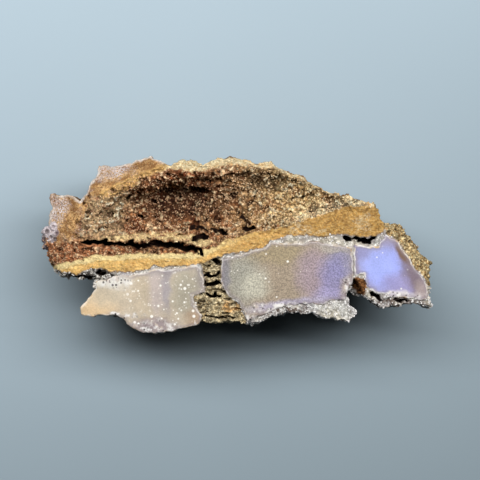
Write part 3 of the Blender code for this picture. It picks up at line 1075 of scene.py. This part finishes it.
def crustColour(place, loose, mask):
    # painted shade in the gaps between crumbs, lighter on crumbs and on raised points
    crust = coat("crustGapShade", plus(0.45, times(most(mask["crumb"], mask["lifted"]), 0.55)), "crust")
    crust = coat(crust, times(mask["coarse"], rest(spot(loose, *rockSpots["whiteBulge"]))), "crustGrey", 0.75)
    crust = coat(crust, mask["patch"], "ledge", 0.2)
    stain = grain(place, 0.9, 0.4, 0.55, shift=21.0)
    for centre, half in rockSpots["brownCrust"]:
        crust = coat(crust, times(spot(loose, centre, half), stain), "crustBrown", 0.85)
    holes = times(specks(flattened(place), 1.5, 0.42, 0.45), spot(loose, *rockSpots["pittedBulge"]))
    crust = coat(crust, holes, "crustBrown", 0.9)
    # painted shade in the pits under the band
    crust = coat(crust, times(mask["underBand"], grain(place, 0.8, 0.38, 0.5, shift=27.0)), "underBandShade", 0.9)
    return coat(crust, mask["cleft"], coat("cleftDark", mask["fine"], "cleft"))


def noduleColour(place, mask):
    # painted shade on the nodules' lower halves and in their mouths
    nodule = coat("noduleShade", between(mask["z"], 23.0, 25.0), "nodule")
    for centre, half in rockSpots["noduleMouths"]:
        nodule = coat(nodule, spot(place, centre, half), "noduleShade", 0.75)
    return nodule


def undersideColour(place, mask):
    under = coat(coat("brown", mask["coarse"], "under"), times(mask["patch"], mask["fine"]), "underGrey", 0.8)
    return coat(under, grain(place, 1.6, 0.52, 0.66, 3.0, shift=71.0), "darkBrown", 0.7)


def crumbShade(mask):
    # painted shade in the gaps between crumbs, and each crumb's own tone, which the calmer zones show less
    calm = most(most(mask["band"], mask["breaks"]), times(plus(mask["rim"], mask["seam"]), 0.7))
    calm = most(calm, times(mask["ledge"], 0.8))
    shade = times(rest(times(rest(mask["crumb"]), 0.74)), plus(0.76, times(mask["tone"], 0.5)))
    return mixColour(rest(times(calm, 0.6)), (1, 1, 1, 1), grey(shade))


def deepShade(loose, mask):
    # painted shade on the floor of the hollow and of its deepest pockets, where little light gets
    paintedDeepShade = 0.0
    for centre, half, turn, strength in rockSpots["paintedDeepShade"]:
        paintedDeepShade = most(times(spot(loose, centre, half, turn), strength), paintedDeepShade)
    paintedDeepShade = times(paintedDeepShade, math2("SUBTRACT", mask["sponge"], times(mask["ledge"], 0.8)))
    return times(paintedDeepShade, rest(times(mask["tip"], 0.55)))


def rockLook():
    look, tree, shader, place = newLook("weathered_rock")
    loose = drifted(place, 0.3, 4.0, 9.0)
    mask = readMasks(tree, place)
    tip, roughHeight = mask["tip"], mask["roughHeight"]
    base = coat("darkBrown", mask["coarse"], "brown")
    base = coat(base, mask["sponge"], spongeColour(place, loose, mask))
    base = coat(base, mask["olive"], coat("olive", tip, "oliveTip"), 0.8)
    base = coat(base, mask["redLeft"], coat("red", tip, "redTip"), 0.8)
    base = coat(base, times(mask["ledge"], mask["pale"]), "ledge")
    # the pale rim on its higher parts, partly its own colour and partly a painted highlight
    base = coat(base, times(mask["rim"], between(roughHeight, 25.0, 28.5)), rimColour(place, mask))
    base = coat(base, times(mask["breaks"], between(roughHeight, 21.0, 26.0)), breakColour(place, mask))
    base = coat(base, times(mask["paleStep"], mask["pale"]), "step", 0.9)
    base = coat(base, mask["band"], bandColour(place, loose, mask))
    base = coat(base, mask["layers"], layersColour(loose, mask))
    rightCrust = coat(coat("rightBrown", mask["fine"], "rightCrust"), tip, "rightCrust")
    base = coat(base, mask["rightCrust"], rightCrust)
    base = coat(base, mask["seam"], crustColour(place, loose, mask))
    base = coat(base, mask["nodules"], noduleColour(place, mask))
    flank = times(between(mask["outline"], -4.0, -1.5), between(roughHeight, 27.0, 20.0))
    low = most(flank, between(mask["z"], 19.0, 14.0))
    base = coat(base, low, undersideColour(place, mask), 0.85)
    base = mixColour(1.0, base, crumbShade(mask), "MULTIPLY")
    # painted shade in the pores, by how deep a point lies below the rock's skin
    base = coat(base, between(mask["inPore"], 0.3, 1.7), "poreShade", 0.8)
    # painted shade on the floor of the hollow
    base = coat(base, deepShade(loose, mask), "paintedDeepShade")
    # painted shade in the cracks
    base = coat(base, between(mask["inVoid"], 0.2, 0.6), "void")
    roughness = math2("SUBTRACT", 0.95, times(mask["fine"], 0.15))
    height = plus(times(mask["crumb"], 0.7), times(grain(place, 0.28, 0.2, 0.8, 3.0, shift=12.0), 0.5))
    paint(shader, base, roughness, height, 0.9, 0.3)
    shader.inputs["Specular IOR Level"].default_value = 0.15
    return look


# each lobe's ground colour, its soft zones of colour, and its fine mottling and specks
lobeLooks = {
    "chalcedony_left_lobe": {
        "ground": (198, 184, 164),
        "zones": [  # centre, half sizes, turn, colour, strength
            ((-40.5, -17.0), (9.0, 5.0), 0, (228, 198, 156), 0.95),
            ((-36.0, -13.0), (7.0, 5.0), 0, (206, 194, 172), 0.7),
            ((-33.8, -10.2), (6.0, 2.2), 0, (226, 224, 216), 0.9),
            ((-25.0, -14.0), (5.5, 8.0), 0, (200, 185, 162), 0.8),
            ((-21.8, -12.5), (2.6, 8.5), 0, (190, 178, 180), 0.65),
            ((-14.2, -13.0), (4.4, 8.0), 0, (173, 166, 149), 0.9),
            ((-40.5, -13.4), (1.2, 4.8), -32, (246, 238, 226), 0.8),
            ((-19.1, -11.5), (1.5, 8.5), 0, (154, 149, 162), 0.65),
            ((-10.3, -9.0), (1.6, 4.2), 0, (148, 143, 140), 0.6),
            ((-11.5, -20.0), (3.2, 3.2), 0, (170, 142, 116), 0.7),
            ((-22.5, -22.0), (7.0, 2.2), 0, (142, 128, 134), 0.85),
            ((-20.0, -7.6), (8.0, 1.4), 6, (168, 160, 160), 0.5),
        ],
        "mottle": 0.14, "cloud": 0.2, "specks": 0.85, "speckSize": 0.36, "dust": 0.8, "rind": 0.7,
        "pitted": [((-33.4, -10.0), (5.5, 2.4)), ((-22.5, -22.4), (7.5, 1.8)), ((-33.0, -19.5), (8.0, 0.9))],
    },
    "chalcedony_middle_lobe": {
        "ground": (172, 156, 136),
        "zones": [
            ((1.5, -9.0), (6.0, 9.5), 0, (170, 168, 156), 0.9),
            ((-3.3, -8.5), (1.7, 6.5), 0, (138, 136, 146), 0.75),
            ((4.8, -11.2), (4.4, 4.4), 0, (208, 204, 186), 0.8),
            ((12.0, -2.2), (12.0, 3.6), 6, (170, 154, 122), 0.8),
            ((20.5, -8.0), (5.5, 8.5), 0, (172, 154, 166), 0.8),
            ((28.4, -5.0), (5.2, 6.5), 0, (154, 151, 174), 0.85),
            ((26.0, -9.4), (4.7, 7.8), 0, (150, 146, 194), 0.8),
            ((24.6, -13.8), (5.0, 2.4), 0, (176, 168, 208), 0.7),
            ((15.0, -16.4), (13.5, 1.7), 6, (186, 180, 206), 0.8),
            ((29.4, -11.2), (1.9, 4.2), -22, (158, 144, 138), 0.9),
            ((26.0, -1.2), (6.0, 1.4), -5, (186, 178, 168), 0.7),
        ],
        "mottle": 0.44, "cloud": 0.1, "specks": 0.08, "speckSize": 0.3, "dust": 0.05, "rind": 0.6,
        "pitted": [((14.0, -17.2), (13.0, 1.2)), ((29.6, -12.0), (1.8, 3.6)), ((2.4, -20.2), (3.4, 1.8))],
    },
    "chalcedony_right_lobe": {
        "ground": (152, 142, 162),
        "zones": [
            ((40.0, -7.0), (8.0, 7.6), 0, (160, 170, 236), 1.0),
            ((37.6, -5.5), (5.0, 5.0), 0, (164, 176, 240), 0.8),
            ((33.3, -2.2), (2.8, 2.4), 0, (146, 146, 190), 0.85),
            ((44.0, -11.0), (6.0, 4.0), 0, (156, 148, 192), 0.75),
            ((48.4, -9.4), (3.1, 8.5), 28, (126, 110, 120), 0.95),
            ((44.9, -2.6), (4.4, 1.5), -52, (120, 92, 72), 0.95),
            ((41.0, -13.9), (9.0, 1.3), 0, (218, 212, 212), 0.75),
            ((49.8, -12.8), (2.3, 3.4), 0, (178, 162, 158), 0.7),
        ],
        "mottle": 0.12, "cloud": 0.12, "specks": 0.15, "speckSize": 0.28, "dust": 0.05, "rind": 0.9,
        "pitted": [((42.0, -14.2), (9.0, 1.3))],
    },
}


def lobeGround(loose, about, mottle):
    # the soft zones of colour in the chalcedony, clouded and mottled
    base = linear(*about["ground"])
    for centre, half, turn, colour, strength in about["zones"]:
        base = coat(base, spot(loose, centre, half, turn), linear(*colour), strength)
    shade = math2("SUBTRACT", 1.06, times(mottle, about["mottle"]))
    shade = math2("SUBTRACT", shade, times(grain(loose, 3.4, 0.3, 0.7, 4.0), about["cloud"]))
    return mixColour(1.0, base, grey(shade), "MULTIPLY")


def lobeSpecks(place, x, about):
    # white specks, partly inclusions and partly painted glints, and finer dust, neither of them at the lobe's
    # left end
    level = flattened(place)
    bright = times(specks(level, 1.5, about["speckSize"], about["specks"]), between(x, -32.0, -28.0))
    dust = times(specks(level, 0.85, 0.26, about["dust"]), between(x, -33.0, -26.0))
    dust = times(dust, grain(place, 3.0, 0.4, 0.55))
    return most(bright, times(dust, 0.75))


def lobeLook(name):
    about = lobeLooks[name]
    look, tree, shader, place = newLook(name)
    loose = drifted(place, 0.35, 3.0, 3.0)
    x, _, z = axes(place)
    top = stone["height"]
    edge = stored(tree, "fromEdge")
    mottle = grain(place, 0.42, 0.38, 0.64, 1.5)
    wave = grain(place, 1.6, 0.3, 0.7, 3.0)
    stained = grain(place, 2.6, 0.5, 0.66)
    base = lobeGround(loose, about, mottle)
    base = coat(base, lobeSpecks(place, x, about), "speckAndGlint", 0.9)
    base = coat(base, times(between(edge, 1.3, 0.5), between(x, -38.0, -30.0)), "margin", 0.45)

    # the pale rind along the edge, broken here and there
    width = plus(0.12, times(wave, 0.42))
    rind = between(edge, plus(width, 0.15), plus(width, -0.1))
    rind = times(rind, times(grain(place, 2.2, 0.36, 0.56), about["rind"]))
    base = coat(base, rind, coat("rind", stained, "stain"))

    # stretches of pitted crust, with painted shade in its small pits
    crusty = 0.0
    for centre, half in about["pitted"]:
        crusty = most(spot(loose, centre, half), crusty)
    crust = coat(coat("crustShade", wave, "crustWhite"), stained, "crustStain", 0.6)
    base = coat(base, times(crusty, between(wave, 0.35, 0.7)), crust)
    base = coat(base, times(crusty, specks(flattened(place), 0.85, 0.3, 0.8)), "pitShade")

    # the worn, unpolished sides
    side = between(z, top - 0.1, top - 0.6)
    worn = coat("worn", grain(place, 5.0, 0.4, 0.6, 4.0), "wornBrown")
    worn = coat(coat(worn, stained, "wornChalk", 0.8), mottle, "wornDark", 0.4)
    base = coat(base, between(plus(z, wave), top - 0.2, top - 2.5), worn, 0.85)
    unpolished = most(most(side, rind), crusty)
    paint(shader, base, plus(0.3, times(unpolished, 0.4)), times(unpolished, wave), 0.5, 0.12)
    shader.inputs["IOR"].default_value = 1.54
    shader.inputs["Subsurface Weight"].default_value = 0.35
    shader.inputs["Subsurface Radius"].default_value = (1.0, 0.9, 0.85)
    shader.inputs["Subsurface Scale"].default_value = 0.9 * mm
    return look


# loose grains that cling to the rough rock: how many on each square millimetre, and their
# smallest and largest size
grains = {
    "sponge": {
        "on": "porous", "perArea": 1.1, "sizes": (0.12, 0.32),
        "light": (226, 188, 148), "dark": (126, 80, 56), "right": (250, 222, 170),
    },
    "seam": {
        "on": "seam", "perArea": 1.6, "sizes": (0.14, 0.32),
        "light": (244, 244, 240), "dark": (190, 184, 176), "right": (236, 234, 236),
    },
}


def scatterTree(name, mask, look):
    tree, entry, result = geometryTree(name)
    for label in ("Per Area", "Smallest", "Largest"):
        tree.interface.new_socket(label, in_out="INPUT", socket_type="NodeSocketFloat")
    tree.interface.new_socket("Seed", in_out="INPUT", socket_type="NodeSocketInt")
    chosen = treeNode(tree, "GeometryNodeInputNamedAttribute", {"Name": mask}, data_type="FLOAT")
    chosen = chosen.outputs["Attribute"]
    upward = math2("GREATER_THAN", axes(treeNode(tree, "GeometryNodeInputNormal").outputs[0])[2], -0.1)
    density = times(entry.outputs["Per Area"], times(chosen, upward))
    points = treeNode(
        tree, "GeometryNodeDistributePointsOnFaces",
        {"Mesh": entry.outputs["Geometry"], "Density": density, "Seed": entry.outputs["Seed"]},
    )
    lump = treeNode(tree, "GeometryNodeMeshIcoSphere", {"Radius": 1.0, "Subdivisions": 1})
    turn = treeNode(
        tree, "FunctionNodeRandomValue", {"Max": (6.28, 6.28, 6.28), "Seed": entry.outputs["Seed"]},
        data_type="FLOAT_VECTOR",
    )
    limits = {"Min": entry.outputs["Smallest"], "Max": entry.outputs["Largest"]}
    size = [
        treeNode(
            tree, "FunctionNodeRandomValue", {**limits, "Seed": seed}, data_type="FLOAT"
        ).outputs["Value"]
        for seed in (1, 2, 3)
    ]
    placed = treeNode(
        tree, "GeometryNodeInstanceOnPoints",
        {"Points": points.outputs["Points"], "Instance": lump.outputs["Mesh"], "Rotation": turn.outputs[0],
         "Scale": treeNode(tree, "ShaderNodeCombineXYZ", dict(enumerate(size))).outputs[0]},
    )
    real = treeNode(tree, "GeometryNodeRealizeInstances", {"Geometry": placed.outputs[0]})
    coloured = treeNode(tree, "GeometryNodeSetMaterial", {"Geometry": real.outputs[0], "Material": look})
    tree.links.new(coloured.outputs[0], result.inputs[0])
    return tree


def makeGrains(host, kind, tree, seed):
    about = grains[kind]
    holder = bpy.data.objects.new(f"{kind}_grains_on_{host.name}", host.data)
    bpy.context.scene.collection.objects.link(holder)
    scatter = holder.modifiers.new("grains", "NODES")
    scatter.node_group = tree
    values = {
        "Per Area": about["perArea"] / mm**2,
        "Smallest": about["sizes"][0] * mm, "Largest": about["sizes"][1] * mm,
        "Seed": seed,
    }
    for item in tree.interface.items_tree:
        if item.name in values and item.in_out == "INPUT":
            scatter[item.identifier] = values[item.name]
    scattered = holder.evaluated_get(bpy.context.evaluated_depsgraph_get())
    mesh = bpy.data.meshes.new_from_object(scattered)
    holder.modifiers.remove(scatter)
    holder.data = mesh
    mesh.name = holder.name
    print(holder.name, len(mesh.polygons), "triangles")
    return holder


def grainLook(kind):
    light, dark, right = (linear(*grains[kind][tone]) for tone in ("light", "dark", "right"))
    look, tree, shader, place = newLook(f"{kind}_grains")
    tone = grain(place, 0.5, 0.35, 0.65, 1.0)
    base = coat(coat(dark, tone, light), grain(place, 4.0, 0.35, 0.65), dark, 0.35)
    base = coat(base, between(axes(place)[0], -10.0, 20.0), right, 0.6)
    paint(shader, base, math2("SUBTRACT", 0.9, times(tone, 0.3)), tone, 0.5, 0.1)
    return look


print("colouring the stone")
weatheredRock = rockLook()
for piece in rocks:
    piece.data.materials.append(weatheredRock)
for piece in seam:
    piece.data.materials.append(lobeLook(piece.name))
print("scattering grains")
loose = []
for kind, about in grains.items():
    tree = scatterTree(f"scatter_{kind}_grains", f"{kind}Grains", grainLook(kind))
    hosts = [piece for piece in rocks if piece.name.startswith(about["on"])]
    loose += [makeGrains(host, kind, tree, seed) for seed, host in enumerate(hosts, 1)]
for piece in rocks + seam + loose:
    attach(piece, "root")
    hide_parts(stone["node"])

# the card that the stone lies on: its tone darkens from one point to the other, and more so from top to
# bottom, as a painted falloff of the light
floorCard = {
    "colour": (170, 189, 202), "falloffShade": (127, 142, 151), "from": (-60.0, 60.0), "to": (70.0, -60.0),
    "downWeight": 2.2, "width": 3,
}


def makeFloor():
    look, tree, shader, place = newLook("grey_card")
    (ax, ay), (bx, by) = floorCard["from"], floorCard["to"]
    down = floorCard["downWeight"] * (by - ay)
    start = vectorMath("SUBTRACT", place, (ax, ay, 0))
    along = treeNode(tree, "ShaderNodeVectorMath", {0: start, 1: (bx - ax, down, 0)}, operation="DOT_PRODUCT")
    along = math2("DIVIDE", along.outputs["Value"], (bx - ax) ** 2 + down * (by - ay))
    tone = plus(between(along, -0.4, 1.4), times(grain(place, 60.0, 0.2, 0.8, 1.0), 0.04))
    # the darker end is painted falloff of the light
    base = coat(linear(*floorCard["colour"]), tone, linear(*floorCard["falloffShade"]))
    tree.links.new(base, shader.inputs["Base Color"])
    shader.inputs["Roughness"].default_value = 0.8
    bpy.ops.mesh.primitive_plane_add(size=floorCard["width"])
    floor = bpy.context.object
    floor.name = "floor"
    floor.data.materials.append(look)


makeFloor()

# the camera looks straight down on the sawn face
view = {
    "middle": (0.68, 1.08),  # the point of the plan at the middle of the picture
    "width": 129.6,  # how much of the sawn face's plane the picture spans
    "distance": 400.0,
}
lens = bpy.data.cameras.new("camera")
lens.sensor_width = 36
lens.lens = 36 * view["distance"] / view["width"]
lens.clip_start = 0.01
camera = bpy.data.objects.new("camera", lens)
camera.location = (view["middle"][0] * mm, view["middle"][1] * mm, (stone["height"] + view["distance"]) * mm)
bpy.context.scene.collection.objects.link(camera)
bpy.context.scene.camera = camera


def areaLight(name, place, size, power, colour):
    lamp = bpy.data.lights.new(name, "AREA")
    lamp.shape = "RECTANGLE"
    lamp.size, lamp.size_y = size[0] * mm, size[1] * mm
    lamp.energy = power
    lamp.color = colour
    thing = bpy.data.objects.new(name, lamp)
    thing.location = [v * mm for v in place]
    thing.rotation_mode = "QUATERNION"
    thing.rotation_quaternion = (-Vector(place)).to_track_quat("-Z", "Y")
    bpy.context.scene.collection.objects.link(thing)


areaLight("window", (20, 165, 430), (1000, 150), 4.4, (1.0, 0.99, 0.97))
areaLight("ceiling", (0, 330, 420), (700, 260), 0.06, (0.9, 0.96, 1.0))
world = bpy.data.worlds.new("room")
world.use_nodes = True
world.node_tree.nodes["Background"].inputs["Color"].default_value = (0.8, 0.9, 1.0, 1)
world.node_tree.nodes["Background"].inputs["Strength"].default_value = 0.012
bpy.context.scene.world = world
bpy.context.scene.view_settings.view_transform = "Standard"
